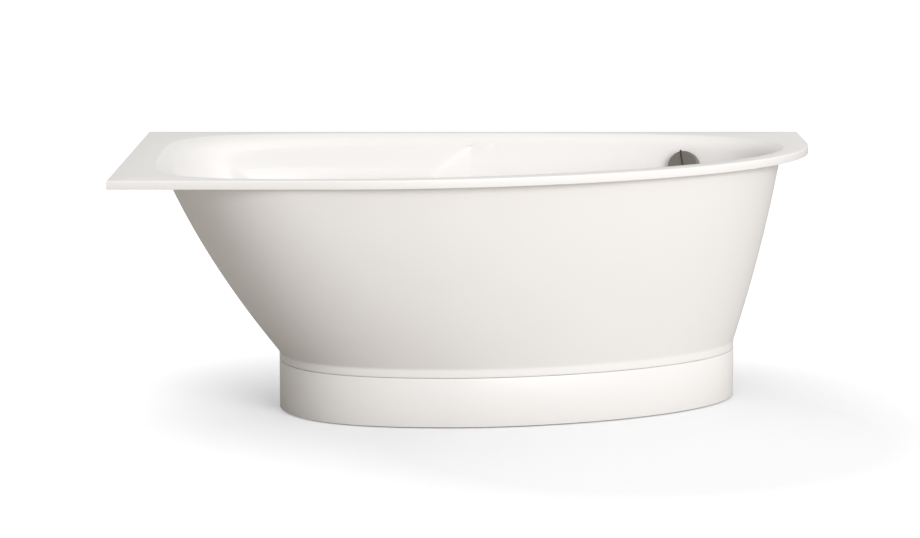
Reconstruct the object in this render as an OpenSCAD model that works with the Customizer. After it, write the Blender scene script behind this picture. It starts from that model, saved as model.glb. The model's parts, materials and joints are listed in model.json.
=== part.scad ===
// Corner bathtub with a one-piece apron, a plinth, adjustable feet and a cable-worked waste.
// It is drawn from its front left corner (x to the right, y to the back wall, z up from the floor)
// and every sub-part is then moved so that the origin lies at the centre of the footprint.

/* [Bath] */
// Length along the back wall
bath_length = 1595; // [1560:5:1680]
// Width from the straight front edge to the back wall
bath_width = 950; // [930:5:1010]
// Height of the rim above the floor
bath_height = 590; // [575:5:640]
// Height of the basin floor above the ground, at the waste
floor_height = 160; // [155:1:175]
// Height of the solid rim edge
rim_edge = 19; // [15:1:22]
// Rounding of the rim's upper edge
rim_round = 2.5; // [1:0.5:4]
// Wall thickness of the basin
shell = 8; // [6:0.5:9]

/* [Front curve of the rim] */
// Straight part of the front edge, as a share of the length
front_straight = 0.3009; // [0.27:0.0001:0.35]
// Where the curve meets the right edge, as a share of the width from the front
right_start = 0.7547; // [0.72:0.0001:0.8]
// Fullness of the curve at the front and at the right
front_fullness = [0.48, 0.565]; // [0.3:0.005:0.8]

/* [Basin opening] */
// Rim width at the left, front, right and back
opening_margin = [70, 34, 66, 39]; // [30:1:100]
// Where it touches its left, front, right and back lines, in shares of the width and length
opening_touch = [0.6211, 0.2803, 0.67, 0.5455]; // [0.2:0.0001:0.8]
// Fullness of the front left and front right corners
opening_front_corners = [0.90, 0.96, 0.51, 0.455]; // [0.3:0.005:1]
// Fullness of the back right and back left corners
opening_back_corners = [0.75, 0.70, 0.88, 1.0]; // [0.3:0.01:1]
// Width of the rounded edge at the left, front, right and back
roll_width = [50, 11, 35, 24]; // [8:1:70]
// Least drop over the rounded edge
roll_drop = 18; // [14:1:24]
// Extra drop for each millimetre of its width
roll_slope = 0.3; // [0.2:0.05:0.5]

/* [Basin floor and walls] */
// Where the top of the walls touches its left, front, right and back lines
wall_touch = [0.4737, 0.2571, 0.6526, 0.5455]; // [0.2:0.0001:0.8]
// Fullness of the walls' top corners, front left, front right, back right, back left
wall_corners = [0.72, 0.62, 0.474, 0.558, 0.77, 0.68, 0.88, 1.0]; // [0.3:0.001:1]
// Inset of the virtual floor corner from the foot of the apron
floor_inset = [45, 41, 35, 35]; // [32:1:60]
// Where the floor's outline touches its lines
floor_touch = [0.5474, 0.4627, 0.6211, 0.5204]; // [0.2:0.0001:0.8]
// Fullness of the floor's corners
floor_corners = [0.756, 0.628, 0.455, 0.483, 0.85, 0.75, 0.65, 0.7]; // [0.3:0.001:1]
// Radius of the fillet between the walls and the floor
floor_fillet = 75; // [60:1:90]
// Fall of the floor towards the waste
floor_fall = 6; // [4:0.5:10]
// How much steeper the walls are at the top than at the bottom
wall_bow = 0.3; // [0.1:0.05:0.5]

/* [Armrests] */
// Width of each armrest
arm_width = 80; // [50:1:90]
// Where the armrests begin and how long they fade in
arm_start = [150, 110]; // [60:5:200]
// Where the armrests end and how long they taper off
arm_end = [790, 84]; // [60:1:850]
// Drop of the armrest's nose at its beginning and at its end
arm_drop = [34, 56]; // [25:1:65]

/* [Apron and plinth] */
// Inset of the apron's top edge from the left, front, right and back
apron_inset = [84, 16, 77, 10]; // [10:1:100]
// Where the apron's top outline touches its lines, in shares of the width and length
apron_touch = [0.5154, 0.2571, 0.6453, 0.5329]; // [0.2:0.0001:0.8]
// Fullness of the apron's top corners, front left, front right, back right, back left
apron_corners = [0.717, 0.66, 0.474, 0.558, 0.80, 0.80, 0.90, 0.95]; // [0.3:0.001:1]
// Inset of the apron's foot from the left, front, right and back of the rim
foot_inset = [340, 209, 180, 150]; // [100:1:400]
// Where the foot's outline touches its lines, in shares of the width and length
foot_touch = [0.5474, 0.4627, 0.6462, 0.5204]; // [0.2:0.0001:0.8]
// Fullness of the foot's corners, front left, front right, back right, back left
foot_corners = [0.756, 0.628, 0.455, 0.513, 0.85, 0.75, 0.65, 0.7]; // [0.3:0.001:1]
// Wall thickness of the apron and the plinth
panel = 7; // [5:0.5:8]
// Height of the upright collar at the apron's foot
collar_height = 19.5; // [15:0.5:30]
// Height of the plinth panel
plinth_height = 112; // [100:1:118]
// Gap under the plinth
plinth_gap = 2.5; // [1:0.5:5]
// Joint between the plinth and the apron
plinth_joint = 1; // [0.5:0.1:1.5]
// Drop from the apron's top to where its left edge steps forward
step_drop = 146; // [120:2:190]
// Height over which it does so
step_span = 18; // [10:1:40]

/* [Frame] */
// Thickness of the base board
board_thickness = 12; // [9:1:15]
// Inset of the board from the virtual floor corner
board_inset = 68; // [65:1:90]
// Width, height and wall of the leg rails
rail_size = [40, 30, 2]; // [2:1:45]
// Distance of the leg rails from the left and from the right
rail_inset = [500, 325]; // [300:1:550]
// Front end of each leg rail, as a share of the width
rail_front_share = [0.335, 0.455]; // [0.3:0.0001:0.5]
// Back end of the leg rails, as a share of the width
rail_back_share = 0.781; // [0.74:0.001:0.8]
// Distance from a rail's end to its foot
foot_margin = 36; // [30:1:60]

/* [Feet] */
// Radius of a foot's base
pad_radius = 23; // [20:0.5:28]
// Height of a foot's base with its socket
pad_height = 20; // [18:1:26]
// Thread diameter of the studs
stud_size = 12; // [10:1:12]
// Height of a weld nut
weld_nut_height = 12; // [10:1:14]
// Height of a lock nut
lock_nut_height = 7; // [5:1:8]
// Width across the flats of the nuts
nut_flats = 19; // [18:1:22]
// Radial clearance of a turning fit
fit = 0.05; // [0.02:0.01:0.08]

/* [Waste] */
// Distance of the waste from the right
waste_inset = 395; // [370:5:430]
// Distance of the waste from the front, as a share of the width
waste_share = 0.5895; // [0.55:0.0005:0.62]
// Radius of the waste flange
flange_radius = 35; // [34:0.5:38]
// Radius of the tail that passes through the basin
tail_radius = 24; // [22:0.5:25]
// Thickness of the waste flange
flange_thickness = 2.5; // [2:0.1:3.5]
// Thickness of the thin gasket under the flange
gasket_thickness = 1.5; // [1:0.1:2]
// Radius of the plug's cap
plug_radius = 30; // [28:0.5:32]
// Lift of the plug
plug_lift = 8.5; // [6:0.5:9]
// Outer radius of the waste body
body_radius = 30; // [29:0.5:32]
// Radius of the water trap
trap_radius = 34; // [32:0.5:36]
// Outer radius of the outlet pipe
pipe_radius = 20; // [16:0.5:20]
// Wall of pipes and plastic bodies
pipe_wall = 2; // [1.5:0.1:3]
// Length of the outlet from the waste's axis
outlet_reach = 230; // [180:5:260]
// Direction of the outlet in plan
outlet_heading = 125; // [110:1:140]

/* [Overflow] */
// Place of the overflow round the basin, in quarters from the left
overflow_turn = 2.535; // [2.48:0.005:2.56]
// Depth of the overflow's axis below the rim
overflow_depth = 74; // [65:1:85]
// Radius of the turning knob
knob_radius = 37.5; // [34:0.5:42]
// How far the knob's face stands off the basin wall
knob_reach = 25; // [22:0.5:30]
// Width and height of the grip across the knob
grip_size = [3, 3]; // [2:0.5:5]
// Radius of the overflow body
overflow_radius = 32; // [30:0.5:34]
// Depth of the overflow body behind the wall
overflow_body_depth = 36; // [35:1:40]
// Inner radius of the overflow hose
hose_bore = 13; // [11:0.5:13.5]
// Ribs on the overflow hose
hose_ribs = 60; // [30:1:80]
// Radius of the control cable
cable_radius = 2.5; // [2:0.25:3]

/* [Wall hooks] */
// Width of a wall hook
hook_width = 40; // [30:1:60]
// Places of the hooks along the back edge, as shares of the length
hook_at = [0.19, 0.5, 0.88]; // [0.1:0.01:0.9]

/* [Hidden] */
$fn = 64;

// Points round each outline and along the apron
ring_points = 72;
apron_columns = 56;
collar_top = plinth_gap + plinth_height + plinth_joint + collar_height;
apron_top = bath_height - rim_edge;
apron_bottom = collar_top - collar_height;
step_height = apron_top - step_drop;
rail_at = [rail_inset[0], bath_length - rail_inset[1]];
rail_front = rail_front_share * bath_width;
rail_back = rail_back_share * bath_width;
waste_at = [bath_length - waste_inset, waste_share * bath_width];

// Outlines are sixteen numbers: left, its touch, front, its touch, right, its touch, back, its
// touch, then two fullness values for each corner.
opening = outline(opening_margin, opening_touch, concat(opening_front_corners, opening_back_corners));
apron_outline = outline(apron_inset, apron_touch, apron_corners);
foot_outline = outline(foot_inset, foot_touch, foot_corners);
wall_top = outline(opening_margin + roll_width, wall_touch, wall_corners);
floor_edge = outline(foot_inset + floor_inset, floor_touch, floor_corners);
floor_flat = grown(floor_edge, -floor_fillet);

// Heights of the floor and of the frame under it
floor_z = floor_height;
floor_rim_z = floor_z + floor_fall;
under_z = floor_z - shell;
board_z = under_z - board_thickness;
rail_z = board_z - rail_size[1];
stud_gap = 3;
stud_top = board_z - stud_gap;
stud_low = 5;

function lerp(a, b, t) = a + (b - a) * t;
function bezier(p, q, r, s, t) =
    (1 - t) ^ 3 * p + 3 * (1 - t) ^ 2 * t * q + 3 * (1 - t) * t ^ 2 * r + t ^ 3 * s;
function unit(v) = v / norm(v);
function clamp01(t) = min(1, max(0, t));
function smooth(t) = let(c = clamp01(t)) c * c * (3 - 2 * c);
function flat(p) = [p[0], p[1]];
function raised(p, z) = [p[0], p[1], z];

function outline(inset, touch, corners) = concat([
    inset[0], touch[0] * bath_width, inset[1], touch[1] * bath_length,
    bath_length - inset[2], touch[2] * bath_width, bath_width - inset[3], touch[3] * bath_length
], corners);
function grown(o, d) = o + d * [-1, 0, -1, 0, 1, 0, 1, 0, 0, 0, 0, 0, 0, 0, 0, 0];

// A point of an outline, where u runs 0 left, 1 front, 2 right, 3 back and round again
function oval(o, u) = let(v = u - 4 * floor(u / 4), k = floor(v), t = v - k)
    k == 0 ? bezier([o[0], o[1]], [o[0], lerp(o[1], o[2], o[8])],
                    [lerp(o[3], o[0], o[9]), o[2]], [o[3], o[2]], t)
    : k == 1 ? bezier([o[3], o[2]], [lerp(o[3], o[4], o[10]), o[2]],
                      [o[4], lerp(o[5], o[2], o[11])], [o[4], o[5]], t)
    : k == 2 ? bezier([o[4], o[5]], [o[4], lerp(o[5], o[6], o[12])],
                      [lerp(o[7], o[4], o[13]), o[6]], [o[7], o[6]], t)
    : bezier([o[7], o[6]], [lerp(o[7], o[0], o[14]), o[6]],
             [o[0], lerp(o[1], o[6], o[15])], [o[0], o[1]], t);

// The rim's own outline has square corners, one at the middle of each of three quarters
function two_sides(a, corner, b, t) = t < 0.5 ? lerp(a, corner, 2 * t) : lerp(corner, b, 2 * t - 1);
function rim(u, inset) = let(
    k = floor(u), t = u - k,
    x0 = inset, x1 = bath_length - inset, y0 = inset, y1 = bath_width - inset,
    left = opening[1], front = front_straight * bath_length,
    right = right_start * bath_width, back = opening[7])
    k == 0 ? two_sides([x0, left], [x0, y0], [front, y0], t)
    : k == 1 ? bezier([front, y0], [lerp(front, x1, front_fullness[0]), y0],
                      [x1, lerp(right, y0, front_fullness[1])], [x1, right], t)
    : k == 2 ? two_sides([x1, right], [x1, y1], [back, y1], t)
    : two_sides([back, y1], [x0, y1], [x0, left], t);

// The basin's inner surface, from the rounded edge down to the waste
function bow(s) = (1 - wall_bow) * s + wall_bow * s ^ 2;
function edge_drop(u) = roll_drop + roll_slope * norm(oval(opening, u) - oval(wall_top, u));
roll_end = 65;
function rolled(u, angle) = raised(
    lerp(oval(opening, u), oval(wall_top, u), sin(angle) / sin(roll_end)),
    bath_height - edge_drop(u) * (1 - cos(angle)) / (1 - cos(roll_end)));
// The inner end of the rim's flat underside, where the rounded edge comes down close to it
edge_shell = 4.5;
function underside(u) = let(
    width = norm(oval(opening, u) - oval(wall_top, u)),
    turn = acos(max(cos(roll_end), 1 - (rim_edge - edge_shell) * (1 - cos(roll_end)) / edge_drop(u))))
    raised(lerp(oval(opening, u), oval(wall_top, u), min(1 - shell / width, sin(turn) / sin(roll_end))),
           apron_top);
function arm_weight(x) =
    smooth((x - arm_start[0]) / arm_start[1]) * clamp01((arm_end[0] - x) / arm_end[1]);
function arm_fall(x) = lerp(arm_drop[0], arm_drop[1],
    clamp01((x - arm_start[0]) / (arm_end[0] - arm_end[1] - arm_start[0])));
plain_step = 22;
function shoulder(u) = let(
    top = rolled(u, roll_end), a = arm_weight(top[0]),
    inward = top[1] > bath_width / 2 ? -1 : 1,
    plain_z = top[2] - plain_step,
    plain = raised(lerp(flat(top), oval(floor_edge, u), bow(plain_step / (top[2] - floor_z))), plain_z),
    armed = top + [0, inward * arm_width, -arm_fall(top[0])])
    lerp(plain, armed, a);
function wall(u, z) = let(n = shoulder(u))
    raised(lerp(flat(n), oval(floor_edge, u), bow((n[2] - z) / (n[2] - floor_z))), z);
function fillet(u, angle) = let(z = floor_rim_z + floor_fillet * (1 - sin(angle)))
    raised(lerp(flat(wall(u, z)), oval(floor_flat, u), 1 - cos(angle)), z);
function drain_ring(u) = waste_at + (flange_radius + 10) * unit(oval(floor_flat, u) - waste_at);

// Rows of the inner surface: rounded edge, armrest, wall, fillet, floor
roll_angles = [0, 22, 44, roll_end];
wall_shares = [0.2, 0.4, 0.6, 0.8, 1];
fillet_angles = [22.5, 45, 67.5, 90];
function inner_column(u) = let(
    top = rolled(u, roll_end), nose = shoulder(u), low = floor_rim_z + floor_fillet)
    concat(
        [for (a = roll_angles) rolled(u, a)],
        [lerp(top, nose, 0.5), nose],
        [for (s = wall_shares) wall(u, lerp(nose[2], low, s))],
        [for (a = fillet_angles) fillet(u, a)],
        [raised(lerp(oval(floor_flat, u), drain_ring(u), 0.5), lerp(floor_rim_z, floor_z, 0.5)),
         raised(drain_ring(u), floor_z)]);
first_offset = len(roll_angles) - 1;
last_wall = first_offset + 2 + len(wall_shares) + len(fillet_angles) - 1;

// The outward direction at a point between its neighbours along and across the surface
function outward(before, after, above, below) =
    unit(cross(unit(below - above), unit(after - before)));
function offset_point(grid, i, j, d) = let(
    n = len(grid), p = grid[i][j],
    steep = unit(unit(grid[i][j + 1] - p) + unit(p - grid[i][j - 1])))
    p + d * outward(grid[(i + n - 1) % n][j], grid[(i + 1) % n][j], p, p + steep);

// Faces of a loft over rings of points, clockwise seen from outside
function band(a, b, n) = [for (i = [0:n - 1]) let(k = (i + 1) % n)
    each [[a + i, a + k, b + k], [a + i, b + k, b + i]]];
function bands(rings, n) = [for (r = [0:rings - 2]) each band(r * n, (r + 1) * n, n)];
// Two ends that close a strip whose rings go out and come back
function ladder(a, n) = [for (i = [0:n / 2 - 2])
    each [[a + i, a + i + 1, a + n - 2 - i], [a + i, a + n - 2 - i, a + n - 1 - i]]];
function turned(faces) = [for (f = faces) [f[2], f[1], f[0]]];
module loft(rings) {
    n = len(rings[0]);
    first = [for (i = [n - 1:-1:0]) i];
    last = [for (i = [0:n - 1]) (len(rings) - 1) * n + i];
    polyhedron([for (r = rings) each r], concat([first], bands(len(rings), n), [last]));
}
module strip(rings) {
    n = len(rings[0]);
    last = (len(rings) - 1) * n;
    polyhedron([for (r = rings) each r],
        concat(turned(ladder(0, n)), bands(len(rings), n), ladder(last, n)));
}
module closed_loft(rings) {
    n = len(rings[0]);
    polyhedron([for (r = rings) each r],
        concat(bands(len(rings), n), band((len(rings) - 1) * n, 0, n)));
}

// Places and directions
module in_place() { translate([-bath_length / 2, -bath_width / 2, 0]) children(); }
function over_waste(z) = [waste_at[0], waste_at[1], z];
module at_waste(heading = 0) {
    in_place() translate(over_waste(floor_z)) rotate([0, 0, heading]) children();
}
// Turns what stands on the z axis so that it points along a heading in plan
module sideways(z, heading) { translate([0, 0, z]) rotate([0, 90, heading]) children(); }
hole_at = wall(overflow_turn, bath_height - overflow_depth);
hole_normal = outward(
    wall(overflow_turn - 0.04, hole_at[2]), wall(overflow_turn + 0.04, hole_at[2]),
    wall(overflow_turn, hole_at[2] + 8), wall(overflow_turn, hole_at[2] - 8));
hole_heading = atan2(-hole_normal[1], -hole_normal[0]);
hole_tilt = asin(-hole_normal[2]);
// The overflow's own frame has its z axis along the normal, into the basin
module along_overflow() {
    translate(hole_at) rotate([0, 90 - hole_tilt, hole_heading]) children();
}
module at_overflow() { in_place() along_overflow() children(); }
module ring(outer, inner, z0, z1) {
    rotate_extrude() translate([inner, z0]) square([outer - inner, z1 - z0]);
}
module hex(flats, height) { cylinder(r = flats / sqrt(3), h = height, $fn = 6); }

// Basin
tail_hole = tail_radius + 1;
seat_depth = gasket_thickness + flange_thickness - 1;
overflow_tail = 20;
overflow_hole = overflow_tail + 1;
overflow_seat = 6;
module basin_shell() {
    step = 4 / ring_points;
    grid = [for (i = [0:ring_points - 1]) inner_column(i * step)];
    rows = len(grid[0]);
    inner = [for (j = [rows - 1:-1:0]) [for (i = [0:ring_points - 1]) grid[i][j]]];
    rim_rings = [for (e = [
            [rim_round, bath_height], [rim_round * 0.3, bath_height - rim_round * 0.3],
            [0, bath_height - rim_round], [0, apron_top]])
        [for (i = [0:ring_points - 1]) raised(rim(i * step, e[0]), e[1])]];
    under = [for (i = [0:ring_points - 1]) underside(i * step)];
    outer = [for (j = [first_offset:rows - 1]) [for (i = [0:ring_points - 1])
        j < last_wall ? offset_point(grid, i, j, shell) : raised(grid[i][j], under_z)]];
    loft(concat(inner, rim_rings, [under], outer));
}
module basin() {
    color("white") in_place() difference() {
        union() {
            basin_shell();
            along_overflow() ring(overflow_radius + 3, overflow_tail, -shell - overflow_seat + 2, -3);
        }
        along_overflow() {
            translate([0, 0, -60]) cylinder(r = overflow_hole, h = 80);
            cylinder(r = overflow_radius + 2, h = 20);
        }
        translate(over_waste(under_z - 10)) cylinder(r = tail_hole, h = 60);
        translate(over_waste(floor_z - seat_depth)) cylinder(r = flange_radius + 0.5, h = 20);
    }
}

// Apron, whose rows run down the inside and back up the outside
apron_ends = [-0.18, 2.28];
step_end = 0.1175;
// The left edge steps forward below the step, and the columns near it follow
function apron_turn(t, z) = lerp(apron_ends[0], apron_ends[1], t)
    + (step_end - apron_ends[0]) * (1 - t) ^ 4 * smooth(0.5 - (z - step_height) / step_span);
apron_rows = concat(
    [for (share = [0, 0.2, 0.4, 0.6, 0.8]) lerp(apron_top, step_height, share)],
    [for (share = [1, 0, -1]) step_height + share * step_span / 2],
    [for (share = [0.1, 0.4, 0.7, 1]) lerp(step_height, collar_top, share)], [apron_bottom]);
function apron_point(u, z, inset) = let(s = clamp01((apron_top - z) / (apron_top - collar_top)))
    raised(oval(grown(lerp(apron_outline, foot_outline, bow(s)), -inset), u), z);
module apron() {
    upward = [for (k = [len(apron_rows) - 1:-1:0]) apron_rows[k]];
    rings = [for (i = [0:apron_columns]) let(t = i / apron_columns) concat(
        [for (z = apron_rows) apron_point(apron_turn(t, z), z, panel)],
        [for (z = upward) apron_point(apron_turn(t, z), z, 0)])];
    color("white") in_place() strip(rings);
}

// Plinth
plinth_columns = 48;
module plinth() {
    side = [for (i = [0:plinth_columns]) lerp(step_end, apron_ends[1], i / plinth_columns)];
    color("white") in_place() translate([0, 0, plinth_gap]) linear_extrude(plinth_height)
        polygon(concat([for (u = side) oval(foot_outline, u)],
            [for (k = [plinth_columns:-1:0]) oval(grown(foot_outline, -panel), side[k])]));
}

// Base board and leg rails
drain_clear = 55;
rail_screw_at = [0.3, 0.7];
rail_screw_radius = 2.5;
rail_screw_depth = 9;
function rail_y(side, share) = lerp(rail_front[side], rail_back, share);
module base_board() {
    edge = grown(floor_edge, -board_inset);
    color("burlywood") in_place() difference() {
        translate([0, 0, board_z]) linear_extrude(board_thickness)
            polygon([for (i = [0:ring_points - 1]) oval(edge, i * 4 / ring_points)]);
        translate(over_waste(board_z - 1)) cylinder(r = drain_clear, h = board_thickness + 2);
        at_rail_screws() translate([0, 0, board_z - 1])
            cylinder(r = rail_screw_radius, h = rail_screw_depth + 1);
        for (u = bracket_turns) at_bracket(u)
            translate([bracket_screw_at, 0, board_z - 1]) cylinder(r = bracket_screw_radius, h = 8);
    }
}
module at_rail_screws() {
    for (side = [0, 1], share = rail_screw_at, x = [-10, 10])
        translate([rail_at[side] + x, rail_y(side, share), 0]) children();
}
module leg_rail(side) {
    length = rail_back - rail_front[side];
    left = rail_at[side] - rail_size[0] / 2;
    wall = rail_size[2];
    color("silver") in_place() difference() {
        translate([left, rail_front[side], rail_z]) cube([rail_size[0], length, rail_size[1]]);
        translate([left + wall, rail_front[side] - 1, rail_z + wall])
            cube([rail_size[0] - 2 * wall, length + 2, rail_size[1] - 2 * wall]);
        for (end = [0, 1]) translate([rail_at[side], foot_y(side, end), rail_z - 1])
            cylinder(r = stud_size / 2 + 0.5, h = rail_size[1] + 2);
        at_rail_screws() translate([0, 0, rail_z - 1])
            cylinder(r = rail_screw_radius + 0.1, h = rail_size[1] + 2);
    }
}
module leg_rail_left() { leg_rail(0); }
module leg_rail_right() { leg_rail(1); }
module rail_screws() {
    color("silver") in_place() at_rail_screws() translate([0, 0, rail_z - 2]) {
        cylinder(r = 5, h = 2);
        cylinder(r = rail_screw_radius, h = 2 + rail_size[1] + rail_screw_depth - 0.5);
    }
}

// Feet: each base turns on the end of its stud, which turns in the nut welded to the rail
function foot_y(side, end) = end == 0 ? rail_front[side] + foot_margin : rail_back - foot_margin;
module at_foot(side, end) { in_place() translate([rail_at[side], foot_y(side, end), 0]) children(); }
module foot_pad(side, end) {
    hub = stud_size / 2 + 5;
    color("dimgray") at_foot(side, end) rotate_extrude() polygon([
        [0, 0], [pad_radius - 1, 0], [pad_radius, 1], [pad_radius, 5], [hub + 1, 10], [hub, pad_height],
        [stud_size / 2 + fit, pad_height], [stud_size / 2 + fit, stud_low - fit], [0, stud_low - fit]]);
}
module foot_stud(side, end) {
    color("silver") at_foot(side, end) {
        translate([0, 0, stud_low]) cylinder(r = stud_size / 2, h = stud_top - stud_low);
        translate([0, 0, pad_height + 4]) hex(stud_size + 4, 7);
    }
}
module foot_pad_front_left() { foot_pad(0, 0); }
module foot_pad_back_left() { foot_pad(0, 1); }
module foot_pad_front_right() { foot_pad(1, 0); }
module foot_pad_back_right() { foot_pad(1, 1); }
module foot_stud_front_left() { foot_stud(0, 0); }
module foot_stud_back_left() { foot_stud(0, 1); }
module foot_stud_front_right() { foot_stud(1, 0); }
module foot_stud_back_right() { foot_stud(1, 1); }
module foot_nuts(height, z) {
    for (side = [0, 1], end = [0, 1]) at_foot(side, end) translate([0, 0, z]) difference() {
        hex(nut_flats, height);
        translate([0, 0, -1]) cylinder(r = stud_size / 2 + fit, h = height + 2);
    }
}
module weld_nuts() { color("silver") foot_nuts(weld_nut_height, rail_z - weld_nut_height); }
module lock_nuts() {
    color("silver") foot_nuts(lock_nut_height, rail_z - weld_nut_height - lock_nut_height);
}

// Brackets between the board and the apron's collar, and clips that hold the plinth
bracket_turns = [0.72, 0.97, 1.25, 1.55, 2.06];
bracket_width = 25;
bracket_sheet = 2;
bracket_screw_radius = 2;
bracket_gap = 0.5;
bracket_lap = 12;
bracket_reach = floor_inset[1] + board_inset - panel + bracket_lap;
bracket_screw_at = bracket_reach - 6;
clip_sheet = 1.5;
clip_width = 16;
clip_drop = 60;
clip_lip = [8, 2];
module at_bracket(u) {
    p = oval(grown(foot_outline, -panel), u);
    along = oval(foot_outline, u + 0.02) - oval(foot_outline, u - 0.02);
    translate([p[0], p[1], 0]) rotate([0, 0, atan2(along[1], along[0]) + 90]) children();
}
module apron_brackets() {
    flange = board_z - apron_bottom - 4;
    color("silver") in_place() for (u = bracket_turns) at_bracket(u) difference() {
        union() {
            translate([bracket_gap + clip_sheet, -bracket_width / 2, board_z - bracket_sheet])
                cube([bracket_reach - bracket_gap - clip_sheet, bracket_width, bracket_sheet]);
            translate([bracket_gap + clip_sheet, -bracket_width / 2, board_z - flange])
                cube([bracket_sheet, bracket_width, flange]);
        }
        translate([bracket_screw_at, 0, board_z - 10]) cylinder(r = bracket_screw_radius + 0.1, h = 20);
    }
}
module bracket_screws() {
    color("silver") in_place() for (u = bracket_turns) at_bracket(u)
        translate([bracket_screw_at, 0, board_z - bracket_sheet - 2]) {
            cylinder(r = 4, h = 2);
            cylinder(r = bracket_screw_radius, h = 2 + bracket_sheet + 6.5);
        }
}
module plinth_clips() {
    color("silver") in_place() for (u = bracket_turns) at_bracket(u) {
        translate([bracket_gap, -clip_width / 2, apron_bottom - clip_drop])
            cube([clip_sheet, clip_width, clip_drop + collar_height - 1]);
        translate([bracket_gap, -clip_width / 2, apron_bottom - clip_drop - clip_lip[1]])
            cube([clip_lip[0], clip_width, clip_lip[1]]);
    }
}

// Hooks under the back edge that hold the rim down to the wall
hook_sheet = 3;
hook_drop = 60;
hook_reach = 20;
module wall_hooks() {
    color("silver") in_place() for (share = hook_at)
        translate([share * bath_length - hook_width / 2, bath_width - 2, apron_top]) {
            translate([0, -hook_sheet, -hook_drop]) cube([hook_width, hook_sheet, hook_drop]);
            translate([0, -hook_reach - 2, -hook_sheet]) cube([hook_width, hook_reach, hook_sheet]);
        }
}

// Waste, drawn from the basin floor at its axis
flange_top = 1;
flange_z = flange_top - flange_thickness;
tail_bore = tail_radius - 3;
spider_z = -26;
spider_height = 4;
stem_radius = 4;
seal_thickness = 2;
seal_gap = 0.15;
cap_z = flange_top + seal_gap + seal_thickness;
spoke = 3;
module waste_flange() {
    color("lightgray") at_waste() {
        ring(flange_radius, tail_bore, flange_z, flange_top);
        ring(tail_radius, tail_bore, spider_z - 1, flange_z);
        ring(stem_radius + 3, stem_radius + fit, spider_z, spider_z + spider_height);
        for (a = [45:90:315]) rotate([0, 0, a]) translate([stem_radius + 2, -spoke / 2, spider_z])
            cube([tail_bore - stem_radius - 1, spoke, spider_height]);
    }
}
module flange_gasket() {
    color("dimgray") at_waste()
        ring(flange_radius - 1, tail_radius + 0.2, flange_z - gasket_thickness, flange_z);
}
nose_radius = 4;
lever_arm = 20;
lever_half_swing = asin(plug_lift / (2 * lever_arm));
lever_z = -42;
crank_drop = 9;
nose_gap = 0.5;
stem_end = lever_z - lever_arm * sin(lever_half_swing) + nose_radius + nose_gap;
module waste_plug() {
    color("lightgray") at_waste() rotate_extrude() polygon([
        [0, stem_end], [stem_radius - 1.5, stem_end], [stem_radius, stem_end + 1.5], [stem_radius, cap_z],
        [plug_radius - 1, cap_z], [plug_radius, cap_z + 0.8], [plug_radius - 0.6, cap_z + 2.2],
        [plug_radius * 0.85, cap_z + 3.6], [plug_radius * 0.5, cap_z + 4.8], [0, cap_z + 5.3]]);
}
module plug_seal() {
    color("dimgray") at_waste() ring(tail_bore + 4, stem_radius + 0.02, cap_z - seal_thickness, cap_z);
}
body_gasket_thickness = 3;
body_top = -shell - body_gasket_thickness;
chamber_top = spider_z - 4;
chamber_floor = -60;
chamber_radius = body_radius - 4;
neck_radius = 22;
neck_bore = 18;
neck_end = chamber_floor - 14;
hose_heading = 88;
hose_port_z = -42;
hose_port_reach = 66;
hose_outer = hose_bore + 3;
cable_heading = 160;
gland_radius = 6;
gland_reach = 44;
module body_gasket() {
    color("dimgray") at_waste() ring(body_radius + 7, tail_radius + 0.2, body_top, -shell);
}
// A tube that leaves the side of the chamber, and the bore through it
module side_tube(z, heading, r, reach) {
    sideways(z, heading) cylinder_between(r, chamber_radius - 1, reach);
}
module side_bore(z, heading, r, reach) {
    sideways(z, heading) cylinder_between(r, chamber_radius - 6, reach + 1);
}
module waste_body() {
    color("whitesmoke") at_waste() difference() {
        union() {
            rotate_extrude() polygon([
                [tail_radius + 0.1, body_top], [body_radius + 8, body_top], [body_radius + 8, body_top - 4],
                [body_radius, body_top - 4], [body_radius, chamber_floor], [neck_radius, chamber_floor],
                [neck_radius, neck_end], [neck_bore, neck_end], [neck_bore, chamber_floor + 3],
                [chamber_radius, chamber_floor + 3], [chamber_radius, chamber_top],
                [tail_radius + 0.1, chamber_top]]);
            side_tube(hose_port_z, hose_heading, hose_outer, hose_port_reach);
            side_tube(lever_z, cable_heading, gland_radius, gland_reach);
        }
        side_bore(hose_port_z, hose_heading, hose_bore, hose_port_reach);
        side_bore(lever_z, cable_heading, cable_radius + 0.1, gland_reach);
        rotate([0, 0, cable_heading - 180]) translate([-lever_arm, 0, lever_z]) rotate([90, 0, 0])
            cylinder_between(pin_radius + 0.02, -pin_half, pin_half);
    }
}
module cylinder_between(r, z0, z1) { translate([0, 0, z0]) cylinder(r = r, h = z1 - z0); }
pin_radius = 2;
pin_half = 20.5;
module lever_pin() {
    color("silver") at_waste(cable_heading - 180) translate([-lever_arm, 0, lever_z]) rotate([90, 0, 0])
        translate([0, 0, -pin_half + 0.2]) cylinder(r = pin_radius, h = 2 * pin_half - 0.4);
}
module lift_lever() {
    color("tan") at_waste(cable_heading - 180) translate([-lever_arm, 0, lever_z])
        rotate([0, lever_half_swing, 0]) difference() {
            union() {
                rotate([90, 0, 0]) cylinder_between(4, -4, 4);
                translate([0, -2.5, -2]) cube([lever_arm, 5, 4]);
                translate([lever_arm, 0, 0]) rotate([90, 0, 0]) cylinder_between(nose_radius, -4, 4);
                translate([-2, -2, -crank_drop]) cube([4, 4, crank_drop]);
            }
            rotate([90, 0, 0]) translate([0, 0, -10]) cylinder(r = pin_radius + fit, h = 20);
        }
}

// Trap
trap_top = neck_end + 4;
trap_bottom = 10 - floor_z;
outlet_z = trap_top - 2 - pipe_radius;
module dip_tube() {
    color("whitesmoke") at_waste()
        ring(neck_bore - 0.02, neck_bore - pipe_wall, trap_bottom + 16, chamber_floor + 1);
}
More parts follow.
